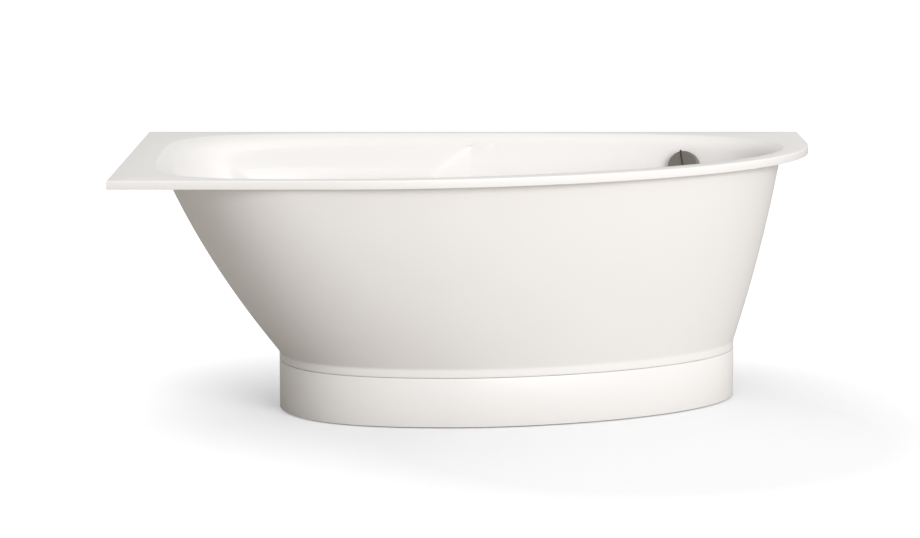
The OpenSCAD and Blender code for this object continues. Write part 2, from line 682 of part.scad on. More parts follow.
// A round plastic nut with grooves for the hand
module gripped_nut(outer, inner, z0, z1) {
    difference() {
        cylinder_between(outer, z0, z1);
        cylinder_between(inner, z0 - 1, z1 + 1);
        for (a = [0:30:330]) rotate([0, 0, a]) translate([outer, 0, 0])
            cylinder_between(groove_radius, z0 - 1, z1 + 1);
    }
}
groove_radius = 1.3;
module trap_nut() {
    color("whitesmoke") at_waste()
        gripped_nut(neck_radius + 8, neck_radius + 0.02, trap_top, chamber_floor - 0.5);
}
spigot_reach = 62;
spigot_radius = pipe_radius - 0.8;
nut_half = 13;
module trap_bowl() {
    color("whitesmoke") at_waste() difference() {
        union() {
            cylinder_between(trap_radius, trap_bottom, trap_top);
            sideways(outlet_z, outlet_heading) cylinder(r = spigot_radius, h = spigot_reach);
        }
        cylinder_between(trap_radius - 3, trap_bottom + 4, trap_top - 4);
        cylinder_between(neck_radius + 0.1, trap_top - 5, trap_top + 1);
        cylinder_between(cap_thread, trap_bottom - 1, trap_bottom + 5);
        sideways(outlet_z, outlet_heading) translate([0, 0, trap_radius - 8])
            cylinder(r = pipe_radius - pipe_wall, h = spigot_reach);
    }
}
cap_thread = 20;
module trap_cap() {
    color("whitesmoke") at_waste() {
        cylinder_between(cap_thread - 0.05, trap_bottom, trap_bottom + 3);
        cylinder_between(cap_thread + 6, trap_bottom - 4, trap_bottom);
        translate([0, 0, trap_bottom - 5.5]) hex(24, 1.5);
    }
}
module outlet_nut() {
    color("whitesmoke") at_waste() sideways(outlet_z, outlet_heading)
        translate([0, 0, spigot_reach])
            gripped_nut(pipe_radius + 5, spigot_radius + 0.05, -nut_half, nut_half);
}
module outlet_pipe() {
    pipe_inner = pipe_radius - pipe_wall;
    color("lightgray") at_waste() sideways(outlet_z, outlet_heading) rotate_extrude() polygon([
        [pipe_inner, spigot_reach], [spigot_radius, spigot_reach],
        [spigot_radius, spigot_reach + nut_half + 1], [pipe_radius, spigot_reach + nut_half + 1],
        [pipe_radius, outlet_reach], [pipe_inner, outlet_reach]]);
}

// Overflow, drawn along its axis from the basin's inner wall
plate_radius = 29;
gasket_back = -shell - overflow_seat + 2;
overflow_gasket_thickness = 3;
body_front = gasket_back - overflow_gasket_thickness;
body_back = body_front - overflow_body_depth;
tail_end = body_front - 8;
spindle_radius = 4;
knob_skirt = 5;
knob_wall = 3;
knob_hub = 9;
module overflow_plate() {
    color("lightgray") at_overflow() {
        ring(plate_radius, overflow_tail - 3, 0, 2);
        ring(overflow_tail, overflow_tail - 3, tail_end, 0);
        ring(spindle_radius + 3, spindle_radius + fit, -6, -1);
        for (a = [0:120:240]) rotate([0, 0, a]) translate([spindle_radius + 2, -1.5, -6])
            cube([overflow_tail - spindle_radius - 4, 3, 5]);
    }
}
module overflow_gasket() {
    color("dimgray") at_overflow()
        ring(overflow_radius + 2, overflow_tail + 0.2, body_front, gasket_back);
}
spigot_drop = 46;
module overflow_spigot(r, extra) {
    translate(body_middle()) cylinder_between(r, -spigot_drop - extra, 0);
}
function body_middle() = hole_at - hole_normal * (body_front + body_back) / 2;
module overflow_body() {
    color("whitesmoke") in_place() difference() {
        union() {
            along_overflow() cylinder_between(overflow_radius + 3, body_front - 4, body_front);
            along_overflow() cylinder_between(overflow_radius, body_back, body_front);
            overflow_spigot(hose_outer, 0);
            at_gland() cylinder_between(gland_radius, 0, overflow_radius + gland_length);
        }
        along_overflow() cylinder_between(overflow_tail + 0.05, tail_end, body_front + 1);
        along_overflow() cylinder_between(overflow_radius - 4, body_back + 3, tail_end + 0.5);
        overflow_spigot(hose_bore, 1);
        at_gland() cylinder_between(cable_radius + 0.1, 0, overflow_radius + gland_length + 1);
    }
}
gland_length = 12;
gland_turn = hole_heading - 90;
gland_out = [cos(gland_turn), sin(gland_turn), 0];
// The cable's gland points sideways, towards the middle of the bath
module at_gland() { translate(body_middle()) rotate([0, 90, gland_turn]) children(); }
module knob_spindle() {
    color("silver") at_overflow() {
        cylinder_between(spindle_radius, body_back + 10, knob_reach - 6);
        cylinder_between(14, body_back + 8, body_back + 12);
        translate([10, 0, 0]) cylinder_between(2.5, body_back + 5, body_back + 9);
    }
}
module overflow_knob() {
    color("darkgray") at_overflow() difference() {
        union() {
            rotate_extrude() polygon([
                [0, knob_reach - 4], [knob_radius - knob_wall, knob_reach - 4],
                [knob_radius - knob_wall, knob_skirt], [knob_radius, knob_skirt],
                [knob_radius, knob_reach - 1.2], [knob_radius - 1.2, knob_reach], [0, knob_reach]]);
            ring(knob_hub, spindle_radius + 0.01, knob_skirt + 3, knob_reach - 3);
            rotate([0, 0, grip_turn]) translate([-knob_radius - 3, -grip_size[0] / 2, knob_reach - 5])
                cube([2 * knob_radius + 3, grip_size[0], 5 + grip_size[1]]);
        }
        cylinder_between(spindle_radius + 0.01, knob_skirt, knob_reach - 6);
        sideways(knob_skirt + 8, grub_heading) cylinder(r = grub_radius + 0.02, h = knob_radius + 1);
    }
}
grip_turn = 13;
grub_radius = 1.5;
grub_heading = 0;
module knob_screw() {
    color("black") at_overflow() sideways(knob_skirt + 8, grub_heading)
        cylinder_between(grub_radius, spindle_radius + 0.1, knob_hub);
}

// Overflow hose from the spigot down and round to the waste body
nut_grip = 10;
waste_dir = [cos(hose_heading), sin(hose_heading), 0];
hose_start = body_middle() - [0, 0, spigot_drop];
hose_end = over_waste(floor_z + hose_port_z) + waste_dir * hose_port_reach;
hose_pull = [0.55 * (hose_start[2] - hose_end[2]), 0.48 * (hose_start[1] - hose_end[1])];
rib_height = 2.6;
hose_skin = hose_bore + 1.2;
hose_straight = 2 * (hose_skin + rib_height);
function hose_line(t) = bezier(hose_start - [0, 0, hose_straight],
    hose_start - [0, 0, hose_straight + hose_pull[0]],
    hose_end + waste_dir * (hose_straight + hose_pull[1]), hose_end + waste_dir * hose_straight, t);
function hose_dir(t) = unit(hose_line(min(1, t + 0.004)) - hose_line(max(0, t - 0.004)));
function circle_at(p, dir, r, sides) = let(
    side = unit(cross(dir, [1, -0.4, 0.13])), other = cross(dir, side))
    [for (k = [0:sides - 1]) p + r * (cos(360 * k / sides) * side - sin(360 * k / sides) * other)];
hose_sides = 8;
module overflow_hose() {
    down = [0, 0, -1];
    ribs = [for (k = [0:hose_ribs - 1], side = [0, 1]) let(t = (k + 0.25 + 0.5 * side) / hose_ribs)
        circle_at(hose_line(t), hose_dir(t), hose_skin + (1 - side) * rib_height, hose_sides)];
    bore_steps = 24;
    bore = [for (k = [bore_steps:-1:0]) let(t = k / bore_steps)
        circle_at(hose_line(t), hose_dir(t), hose_bore, hose_sides)];
    color("gainsboro") in_place() closed_loft(concat(
        [circle_at(hose_start, down, hose_skin, hose_sides)], ribs,
        [circle_at(hose_end, -waste_dir, hose_skin, hose_sides)],
        [circle_at(hose_end, -waste_dir, hose_bore, hose_sides)], bore,
        [circle_at(hose_start, down, hose_bore, hose_sides)]));
}
module hose_nut() { gripped_nut(hose_outer + 5, hose_outer + 0.05, -14, nut_grip); }
module hose_nuts() {
    color("whitesmoke") in_place() {
        translate(hose_start) hose_nut();
        translate(hose_end) rotate([0, 90, hose_heading]) hose_nut();
    }
}

// Control cable between the two glands. Its run is given by the distance from the waste's axis
// along the bath, and by shares of the way to its upper end to the back and upwards.
gland_lap = 6;
cable_straight = 16;
cable_top = body_middle() + gland_out * (overflow_radius + gland_length - gland_lap);
gland_dir = [cos(cable_heading), sin(cable_heading), 0];
cable_foot = over_waste(floor_z + lever_z) + gland_dir * (gland_reach - gland_lap);
cable_run = [
    [-92, 0.144, 0], [-114, 0.288, 0.003], [-112, 0.528, 0.015], [-80, 0.736, 0.07],
    [-38, 0.889, 0.18], [-8, 0.979, 0.34], [8, 1.03, 0.54], [12, 1.068, 0.75], [15, 1.088, 0.89],
    [28, 1.081, 0.972]];
function spline(points, k, t) = let(
    last = len(points) - 1,
    a = points[max(0, k - 1)], b = points[k], c = points[min(last, k + 1)], d = points[min(last, k + 2)])
    0.5 * (2 * b + (c - a) * t + (2 * a - 5 * b + 4 * c - d) * t ^ 2 + (3 * b - a - 3 * c + d) * t ^ 3);
module control_cable() {
    route = concat(
        [for (k = [0:2]) cable_foot + gland_dir * cable_straight * k],
        [for (p = cable_run) [waste_at[0] + p[0], lerp(waste_at[1], cable_top[1], p[1]),
                              lerp(cable_foot[2], cable_top[2], p[2])]],
        [for (k = [2:-1:0]) cable_top + gland_out * cable_straight * k]);
    points = [for (k = [0:len(route) - 2], t = [0:0.25:0.75]) spline(route, k, t)];
    line = concat(points, [cable_top]);
    last = len(line) - 1;
    dirs = [for (k = [0:last])
        k == 0 ? gland_dir : k == last ? -gland_out : unit(line[k + 1] - line[k - 1])];
    color("black") in_place() loft([for (k = [0:last]) circle_at(line[k], dirs[k], cable_radius, 8)]);
}
module cable_nut() {
    difference() {
        hex(14, 8);
        cylinder_between(cable_radius + 0.1, -1, 9);
    }
}
module cable_nuts() {
    color("silver") in_place() {
        at_gland() translate([0, 0, overflow_radius + gland_length]) cable_nut();
        translate(over_waste(floor_z + lever_z)) rotate([0, 90, cable_heading])
            translate([0, 0, gland_reach]) cable_nut();
    }
}

basin();
apron();
plinth();
base_board();
leg_rail_left();
leg_rail_right();
rail_screws();
foot_pad_front_left();
foot_pad_back_left();
foot_pad_front_right();
foot_pad_back_right();
foot_stud_front_left();
foot_stud_back_left();
foot_stud_front_right();
foot_stud_back_right();
weld_nuts();
lock_nuts();
apron_brackets();
bracket_screws();
plinth_clips();
wall_hooks();
waste_flange();
flange_gasket();
waste_plug();
plug_seal();
body_gasket();
waste_body();
lift_lever();
lever_pin();
dip_tube();
trap_nut();
trap_bowl();
trap_cap();
outlet_nut();
outlet_pipe();
overflow_hose();
hose_nuts();
overflow_body();
overflow_gasket();
overflow_plate();
knob_spindle();
overflow_knob();
knob_screw();
control_cable();
cable_nuts();
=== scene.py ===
"""Looks of the corner bathtub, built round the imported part. All lengths are in metres."""

import json
import math

import bmesh
import bpy
import numpy as np
from mathutils import Matrix, Vector


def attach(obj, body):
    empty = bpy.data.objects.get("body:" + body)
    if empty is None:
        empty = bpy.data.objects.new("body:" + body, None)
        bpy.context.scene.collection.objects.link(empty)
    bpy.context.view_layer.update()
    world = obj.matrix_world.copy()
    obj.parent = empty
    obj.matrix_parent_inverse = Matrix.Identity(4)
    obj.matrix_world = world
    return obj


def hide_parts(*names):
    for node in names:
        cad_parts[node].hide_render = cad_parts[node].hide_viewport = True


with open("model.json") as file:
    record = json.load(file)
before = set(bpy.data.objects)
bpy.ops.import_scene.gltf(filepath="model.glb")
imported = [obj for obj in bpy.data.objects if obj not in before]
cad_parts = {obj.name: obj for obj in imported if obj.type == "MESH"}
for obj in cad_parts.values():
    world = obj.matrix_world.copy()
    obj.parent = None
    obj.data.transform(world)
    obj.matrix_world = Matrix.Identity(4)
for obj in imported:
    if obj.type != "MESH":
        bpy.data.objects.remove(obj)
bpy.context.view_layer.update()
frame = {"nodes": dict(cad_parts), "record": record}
scene = bpy.context.scene
nodes = frame["nodes"]
MM = 0.001

# Camera
camera_data = bpy.data.cameras.new("camera")
camera_data.sensor_width = 36
camera_data.lens = 121.2
camera = bpy.data.objects.new("camera", camera_data)
camera.location = (-0.0322, -7.1102, 1.4536)
camera.rotation_euler = (math.radians(80.96), 0, 0)
scene.collection.objects.link(camera)
scene.camera = camera

# Sizes of the part, in millimetres
LENGTH, WIDTH, HEIGHT = 1595, 950, 590
RIM_EDGE, RIM_ROUND, SHELL = 19, 2.5, 8
FRONT_STRAIGHT, RIGHT_START, FRONT_FULLNESS = 0.3009, 0.7547, (0.48, 0.565)
OPENING_MARGIN = np.array([70, 34, 66, 39])
OPENING_TOUCH = (0.6211, 0.2803, 0.67, 0.5455)
OPENING_CORNERS = (0.90, 0.96, 0.51, 0.455, 0.75, 0.70, 0.88, 1.0)
ROLL_WIDTH = np.array([50, 11, 35, 24])
WALL_TOUCH = (0.4737, 0.2571, 0.6526, 0.5455)
WALL_CORNERS = (0.72, 0.62, 0.474, 0.558, 0.77, 0.68, 0.88, 1.0)
ROLL_DROP, ROLL_SLOPE, ROLL_END = 18, 0.3, math.radians(65)
FLOOR_INSET = np.array([45, 41, 35, 35])
FLOOR_FILLET, FLOOR_FALL, WALL_BOW = 75, 6, 0.3
ARM_WIDTH, ARM_DROP = 80, (34, 56)
# Where an armrest starts and ends along the tub, and the length over which it rises and ends
ARM_START, ARM_RISE, ARM_END, ARM_FALL = 150, 110, 790, 84
APRON_INSET = np.array([84, 16, 77, 10])
APRON_TOUCH = (0.5154, 0.2571, 0.6453, 0.5329)
APRON_CORNERS = (0.717, 0.66, 0.474, 0.558, 0.80, 0.80, 0.90, 0.95)
FOOT_INSET = np.array([340, 209, 180, 150])
FOOT_TOUCH = (0.5474, 0.4627, 0.6462, 0.5204)
FOOT_CORNERS = (0.756, 0.628, 0.455, 0.513, 0.85, 0.75, 0.65, 0.7)
FLOOR_TOUCH = (0.5474, 0.4627, 0.6211, 0.5204)
FLOOR_CORNERS = (0.756, 0.628, 0.455, 0.483, 0.85, 0.75, 0.65, 0.7)
PANEL, COLLAR, PLINTH, PLINTH_GAP, PLINTH_JOINT = 7, 19.5, 112, 2.5, 1
STEP_DROP, STEP_SPAN, STEP_END, APRON_ENDS = 146, 18, 0.1175, (-0.18, 2.28)
FLOOR_Z, PLAIN_STEP, EDGE_SHELL = 160, 22, 4.5
FLOOR_RIM_Z = FLOOR_Z + FLOOR_FALL
UNDER_Z = FLOOR_Z - SHELL
APRON_TOP = HEIGHT - RIM_EDGE
COLLAR_TOP = PLINTH_GAP + PLINTH + PLINTH_JOINT + COLLAR
APRON_BOTTOM = COLLAR_TOP - COLLAR
STEP_HEIGHT = APRON_TOP - STEP_DROP
WASTE = np.array([LENGTH - 395, 0.5895 * WIDTH])
FLANGE_RADIUS, TAIL_HOLE, SEAT_DEPTH, DRAIN_MARGIN = 35, 25, 3, 10
OVERFLOW_TURN, OVERFLOW_DEPTH, OVERFLOW_HOLE, OVERFLOW_RADIUS = 2.535, 74, 21, 32


# Curves
def lerp(a, b, t):
    return a + (b - a) * t


def smooth(t):
    c = np.clip(t, 0, 1)
    return c * c * (3 - 2 * c)


def bezier(p, q, r, s, t):
    return (1 - t) ** 3 * p + 3 * (1 - t) ** 2 * t * q + 3 * (1 - t) * t**2 * r + t**3 * s


def unit(v):
    return v / np.linalg.norm(v, axis=-1, keepdims=True)


def raised(xy, z):
    return np.concatenate([xy, np.broadcast_to(np.asarray(z, float).reshape(-1, 1), (len(xy), 1))], axis=1)


def outline(inset, touch, corners):
    """Where an oval touches its box at the left, front, right and back, and how full its corners are."""
    return np.array([
        inset[0], touch[0] * WIDTH, inset[1], touch[1] * LENGTH,
        LENGTH - inset[2], touch[2] * WIDTH, WIDTH - inset[3], touch[3] * LENGTH, *corners])


def grown(o, d):
    """An outline whose box is larger by d on each side."""
    return o + d * np.array([-1, 0, -1, 0, 1, 0, 1, 0] + [0] * 8)


def oval(o, u):
    """Points of an outline for an array u that runs 0 left, 1 front, 2 right, 3 back."""
    o = [np.broadcast_to(v, u.shape) for v in o]
    k = np.floor(u).astype(int) % 4
    t = (u - np.floor(u))[:, None]

    def pt(x, y):
        return np.stack([x, y], axis=1)

    left, front, right, back = pt(o[0], o[1]), pt(o[3], o[2]), pt(o[4], o[5]), pt(o[7], o[6])
    curves = (
        (left, pt(o[0], lerp(o[1], o[2], o[8])), pt(lerp(o[3], o[0], o[9]), o[2]), front),
        (front, pt(lerp(o[3], o[4], o[10]), o[2]), pt(o[4], lerp(o[5], o[2], o[11])), right),
        (right, pt(o[4], lerp(o[5], o[6], o[12])), pt(lerp(o[7], o[4], o[13]), o[6]), back),
        (back, pt(lerp(o[7], o[0], o[14]), o[6]), pt(o[0], lerp(o[1], o[6], o[15])), left))
    out = np.zeros((len(u), 2))
    for i, c in enumerate(curves):
        out = np.where((k == i)[:, None], bezier(*c, t), out)
    return out


OPENING = outline(OPENING_MARGIN, OPENING_TOUCH, OPENING_CORNERS)
APRON = outline(APRON_INSET, APRON_TOUCH, APRON_CORNERS)
FOOT = outline(FOOT_INSET, FOOT_TOUCH, FOOT_CORNERS)
WALL_TOP = outline(OPENING_MARGIN + ROLL_WIDTH, WALL_TOUCH, WALL_CORNERS)
FLOOR_EDGE = outline(FOOT_INSET + FLOOR_INSET, FLOOR_TOUCH, FLOOR_CORNERS)
FLOOR_FLAT = grown(FLOOR_EDGE, -FLOOR_FILLET)


def rim(u, inset):
    """The outer edge of the rim, straight at the walls and curved from the front to the right."""
    x0, x1, y0, y1 = inset, LENGTH - inset, inset, WIDTH - inset
    left, back = OPENING[1], OPENING[7]
    front, right = FRONT_STRAIGHT * LENGTH, RIGHT_START * WIDTH
    out = []
    for v in u:
        k, t = int(v), v - int(v)
        if k == 1:
            p = bezier(*[np.array(c, float) for c in (
                (front, y0), (lerp(front, x1, FRONT_FULLNESS[0]), y0),
                (x1, lerp(right, y0, FRONT_FULLNESS[1])), (x1, right))], t)
        else:
            a, c, b = {
                0: ((x0, left), (x0, y0), (front, y0)),
                2: ((x1, right), (x1, y1), (back, y1)),
                3: ((back, y1), (x0, y1), (x0, left))}[k]
            a, c, b = (np.array(q, float) for q in (a, c, b))
            p = lerp(a, c, 2 * t) if t < 0.5 else lerp(c, b, 2 * t - 1)
        out.append(p)
    return np.array(out)


def bow(s):
    """How far a wall has gone inward at share s of its height."""
    return (1 - WALL_BOW) * s + WALL_BOW * s**2


def edge_drop(u):
    return ROLL_DROP + ROLL_SLOPE * np.linalg.norm(oval(OPENING, u) - oval(WALL_TOP, u), axis=1)


def rolled(u, angle):
    """The rounded edge from the opening down to the top of the wall."""
    xy = lerp(oval(OPENING, u), oval(WALL_TOP, u), math.sin(angle) / math.sin(ROLL_END))
    return raised(xy, HEIGHT - edge_drop(u) * (1 - math.cos(angle)) / (1 - math.cos(ROLL_END)))


EDGE_CREASE, CREASE_ROUND = 0.5, 0.03
# How far the armrest's slanted end runs up towards the rounded edge, and over which length this starts
END_RISE, END_RAMP = 17, 20


def rounded_edge(u, share):
    """The rounded edge as the eye sees it, which turns down a little quicker at its upper line."""
    turn = np.arcsin(share * math.sin(ROLL_END))
    soft = math.sqrt(share**2 + CREASE_ROUND**2) - CREASE_ROUND
    fall = (1 - math.cos(turn)) / (1 - math.cos(ROLL_END)) + EDGE_CREASE * soft * (1 - share) ** 2
    return raised(lerp(oval(OPENING, u), oval(WALL_TOP, u), share), HEIGHT - edge_drop(u) * fall)


def underside(u):
    """Where the tub's outer face meets the underside of the rim."""
    width = np.linalg.norm(oval(OPENING, u) - oval(WALL_TOP, u), axis=1)
    turn = np.arccos(np.maximum(
        math.cos(ROLL_END), 1 - (RIM_EDGE - EDGE_SHELL) * (1 - math.cos(ROLL_END)) / edge_drop(u)))
    share = np.minimum(1 - SHELL / width, np.sin(turn) / math.sin(ROLL_END))[:, None]
    return raised(lerp(oval(OPENING, u), oval(WALL_TOP, u), share), APRON_TOP)


def shoulder(u):
    """The inner edge of the armrests, and between them a line a small step below the rounded edge."""
    top = rolled(u, ROLL_END)
    x = top[:, 0]
    weight = smooth((x - ARM_START) / ARM_RISE) * np.clip((ARM_END - x) / ARM_FALL, 0, 1)
    fall = lerp(*ARM_DROP, np.clip((x - ARM_START) / (ARM_END - ARM_FALL - ARM_START), 0, 1))
    inward = np.where(top[:, 1] > WIDTH / 2, -1.0, 1.0)
    at_end = smooth((x - ARM_END + 2 * ARM_FALL) / END_RAMP) * smooth((ARM_END + ARM_FALL - x) / ARM_FALL)
    step = PLAIN_STEP - END_RISE * at_end
    share = bow(step / (top[:, 2] - FLOOR_Z))[:, None]
    plain = raised(lerp(top[:, :2], oval(FLOOR_EDGE, u), share), top[:, 2] - step)
    armed = top + np.stack([0 * x, inward * ARM_WIDTH, -fall], axis=1)
    return lerp(plain, armed, weight[:, None])


def wall(u, z):
    """The inner wall at height z."""
    n = shoulder(u)
    z = np.broadcast_to(z, u.shape)
    return raised(lerp(n[:, :2], oval(FLOOR_EDGE, u), bow((n[:, 2] - z) / (n[:, 2] - FLOOR_Z))[:, None]), z)


def fillet(u, angle):
    """The round between the inner wall and the floor."""
    z = FLOOR_RIM_Z + FLOOR_FILLET * (1 - math.sin(angle))
    return raised(lerp(wall(u, z)[:, :2], oval(FLOOR_FLAT, u), 1 - math.cos(angle)), z)


def drain_ring(u):
    """The circle round the waste to which the floor falls."""
    return WASTE + (FLANGE_RADIUS + DRAIN_MARGIN) * unit(oval(FLOOR_FLAT, u) - WASTE)


def one(f, u, *more):
    """The point of a curve at one value of u."""
    return f(np.array([float(u)]), *more)[0]


hole_z = HEIGHT - OVERFLOW_DEPTH
hole_at = one(wall, OVERFLOW_TURN, hole_z)
NEAR_Z, NEAR_TURN = 8, 0.04
hole_normal = unit(np.cross(
    unit(one(wall, OVERFLOW_TURN, hole_z - NEAR_Z) - one(wall, OVERFLOW_TURN, hole_z + NEAR_Z)),
    unit(one(wall, OVERFLOW_TURN + NEAR_TURN, hole_z) - one(wall, OVERFLOW_TURN - NEAR_TURN, hole_z))))
hole_heading = math.atan2(-hole_normal[1], -hole_normal[0])
hole_tilt = math.asin(-hole_normal[2])


def in_row(points):
    """Corner coordinates in millimetres to the row frame in metres."""
    return (np.asarray(points, float) - [LENGTH / 2, WIDTH / 2, 0]) * MM


def along_overflow():
    """The overflow's own frame in metres: its z axis runs into the basin, its x axis down the wall."""
    return (Matrix.Translation(Vector(in_row(hole_at)))
            @ Matrix.Rotation(hole_heading, 4, "Z") @ Matrix.Rotation(math.pi / 2 - hole_tilt, 4, "Y"))


# Meshes
SHARP, MERGE = 32, 1e-6


def add(name, vertices, faces, sharp=SHARP):
    mesh = bpy.data.meshes.new(name)
    mesh.from_pydata([tuple(v) for v in vertices], [], faces)
    b = bmesh.new()
    b.from_mesh(mesh)
    bmesh.ops.recalc_face_normals(b, faces=b.faces)
    b.to_mesh(mesh)
    b.free()
    mesh.shade_smooth()
    mesh.set_sharp_from_angle(angle=math.radians(sharp))
    piece = bpy.data.objects.new(name, mesh)
    scene.collection.objects.link(piece)
    return piece


def grid_faces(rows, n, closed_rows=False, closed_columns=True):
    r = np.arange(rows if closed_rows else rows - 1)[:, None]
    c = np.arange(n if closed_columns else n - 1)[None, :]
    a, b = r * n + c, r * n + (c + 1) % n
    up = ((r + 1) % rows) * n
    return np.stack([a, b, up + (c + 1) % n, up + c], axis=-1).reshape(-1, 4).tolist()


def ringed(name, rings, capped=False, sharp=SHARP, closed=False):
    """A skin over equal rings of points, with both ends capped or with the last ring joined to the first."""
    n = len(rings[0])
    faces = grid_faces(len(rings), n, closed_rows=closed)
    if capped:
        faces.append(list(range(n)))
        faces.append([(len(rings) - 1) * n + i for i in range(n)])
    return add(name, np.concatenate(rings), faces, sharp)


def turned(name, profile, matrix, segments=96):
    """A profile of (radius, height) pairs in millimetres, turned about the z axis of matrix.

    Ends at radius 0 close it.
    """
    a = np.linspace(0, 2 * math.pi, segments, endpoint=False)
    rings = [np.stack([r * np.cos(a), r * np.sin(a), np.full(segments, z)], axis=1) * MM for r, z in profile]
    piece = ringed(name, rings)
    b = bmesh.new()
    b.from_mesh(piece.data)
    bmesh.ops.remove_doubles(b, verts=b.verts, dist=MERGE)
    bmesh.ops.recalc_face_normals(b, faces=b.faces)
    b.to_mesh(piece.data)
    b.free()
    piece.data.transform(matrix)
    return piece


def cylinder(name, radius, z0, z1, matrix, segments=96):
    return turned(name, [(0, z0), (radius, z0), (radius, z1), (0, z1)], matrix, segments)


def cut(piece, tools):
    """Takes each tool's volume out of a piece and removes the tool."""
    for tool in tools:
        m = piece.modifiers.new("cut", "BOOLEAN")
        m.object, m.operation, m.solver = tool, "DIFFERENCE", "EXACT"
    bpy.context.view_layer.update()
    graph = bpy.context.evaluated_depsgraph_get()
    mesh = bpy.data.meshes.new_from_object(piece.evaluated_get(graph))
    piece.modifiers.clear()
    piece.data = mesh
    mesh.shade_smooth()
    mesh.set_sharp_from_angle(angle=math.radians(SHARP))
    for tool in tools:
        bpy.data.objects.remove(tool)


def join(piece, others):
    """Puts the meshes of other pieces into a piece and removes them."""
    b = bmesh.new()
    b.from_mesh(piece.data)
    for other in others:
        b.from_mesh(other.data)
        bpy.data.objects.remove(other)
    b.to_mesh(piece.data)
    b.free()
    piece.data.shade_smooth()
    piece.data.set_sharp_from_angle(angle=math.radians(SHARP))


def place(piece, body, slot, *replaced):
    """Says which body carries a piece and hides the nodes it stands for. The slot argument is not used."""
    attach(piece, body)
    if replaced:
        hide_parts(*replaced)


# Basin
RING = 360
NOSE_ROUND, EDGE_ROUND, LOWER_EDGE_ROUND = 14, 6, 1.2
BOSS_BORE, BOSS_MARGIN, BOSS_START, BOSS_END, BOSS_ROUND = 21.5, 3, -11.5, -3, 0.5
SEAT_MARGIN, FLANGE_MARGIN, DISC_LAP = 2, 0.5, 0.4
EDGE_SHARES = (0, 0.01, 0.03, 0.06, 0.1, 0.15, 0.22, 0.3, 0.4, 0.5, 0.6, 0.7, 0.8, 0.9, 1)


def rounded(before, corner, after, radius, count):
    """Points that round a corner between two neighbours, by at most radius along each side."""
    a, b = before - corner, after - corner
    la, lb = np.linalg.norm(a, axis=1, keepdims=True), np.linalg.norm(b, axis=1, keepdims=True)
    p, q = corner + a / la * np.minimum(radius, la * 0.45), corner + b / lb * np.minimum(radius, lb * 0.45)
    return [(1 - t) ** 2 * p + 2 * (1 - t) * t * corner + t**2 * q for t in np.linspace(0, 1, count)]


def make_basin():
    u = np.arange(RING) * 4 / RING
    # A column of the mesh on each crease at the armrests' slanted ends
    for corner in (ARM_END, ARM_END - ARM_FALL):
        for side in (u < 2, u >= 2):
            nearest = np.argmin(np.where(side, abs(rolled(u, ROLL_END)[:, 0] - corner), math.inf))
            for _ in range(6):
                here = one(rolled, u[nearest], ROLL_END)[0]
                ahead = one(rolled, u[nearest] + 0.001, ROLL_END)[0]
                u[nearest] += 0.001 * (corner - here) / (ahead - here)
    top, nose = rolled(u, ROLL_END), shoulder(u)
    low = FLOOR_RIM_Z + FLOOR_FILLET
    first = wall(u, lerp(nose[:, 2], low, 0.2))
    rolls = [rounded_edge(u, share) for share in EDGE_SHARES]
    inner = rolls[:-1]
    inner += rounded(rolls[-2], top, nose, EDGE_ROUND, 3)
    inner += [lerp(top, nose, s) for s in (0.3, 0.5)]
    inner += rounded(top, nose, first, NOSE_ROUND, 6)
    inner += [wall(u, lerp(nose[:, 2], low, s)) for s in np.linspace(0.16, 1, 13)]
    inner += [fillet(u, a) for a in np.radians(np.linspace(7.5, 90, 12))]
    last_wall = len(inner) - 1
    ring_xy, flat_xy = drain_ring(u), oval(FLOOR_FLAT, u)
    for s in np.linspace(0.1, 1, 10):
        inner.append(raised(lerp(flat_xy, ring_xy, s), lerp(FLOOR_RIM_Z, FLOOR_Z, s)))
    grid = np.array(inner)
    start = len(rolls) - 1
    under = [underside(u)]
    for j in range(start, len(inner)):
        if j < last_wall:
            along = unit(np.roll(grid[j], -1, axis=0) - np.roll(grid[j], 1, axis=0))
            down = unit(unit(grid[j + 1] - grid[j]) + unit(grid[j] - grid[j - 1]))
            under.append(grid[j] + SHELL * unit(np.cross(down, along)))
        else:
            under.append(raised(grid[j][:, :2], UNDER_Z))
    edge = [(RIM_ROUND * (1 - math.sin(a)), HEIGHT - RIM_ROUND * (1 - math.cos(a)))
            for a in np.radians(np.linspace(0, 90, 6))]
    edge += [(0, APRON_TOP + LOWER_EDGE_ROUND), (0.35, APRON_TOP + 0.35), (LOWER_EDGE_ROUND, APRON_TOP)]
    rings = inner[::-1] + [raised(rim(u, e), z) for e, z in edge] + under
    piece = ringed("tub", [in_row(r) for r in rings], closed=True)
    overflow = along_overflow()
    waste = Matrix.Translation(Vector(in_row([*WASTE, FLOOR_Z])))
    wide = OVERFLOW_RADIUS + BOSS_MARGIN
    boss = turned("boss", [
        (BOSS_BORE, BOSS_START), (wide - BOSS_ROUND, BOSS_START), (wide, BOSS_START + BOSS_ROUND),
        (wide, BOSS_END), (BOSS_BORE, BOSS_END), (BOSS_BORE, BOSS_START)], overflow)
    floor_disc = cylinder("floor_disc", FLANGE_RADIUS + DRAIN_MARGIN + DISC_LAP, -SHELL, 0, waste, RING)
    cut(piece, [
        cylinder("hole_tool", OVERFLOW_HOLE, -60, 20, overflow),
        cylinder("seat_tool", OVERFLOW_RADIUS + SEAT_MARGIN, 0, 20, overflow)])
    cut(floor_disc, [
        cylinder("tail_tool", TAIL_HOLE, -20, 20, waste),
        cylinder("flange_tool", FLANGE_RADIUS + FLANGE_MARGIN, -SEAT_DEPTH, 20, waste)])
    join(piece, [boss, floor_disc])
    place(piece, "bath", "bath_acrylic", "basin")
    return piece


# Apron and plinth
PANEL_COLUMNS, FOLD_SOFT, STEP_ZONE, APRON_ROUND, PLINTH_ROUND = 241, 0.008, 12, 1.2, 1.0


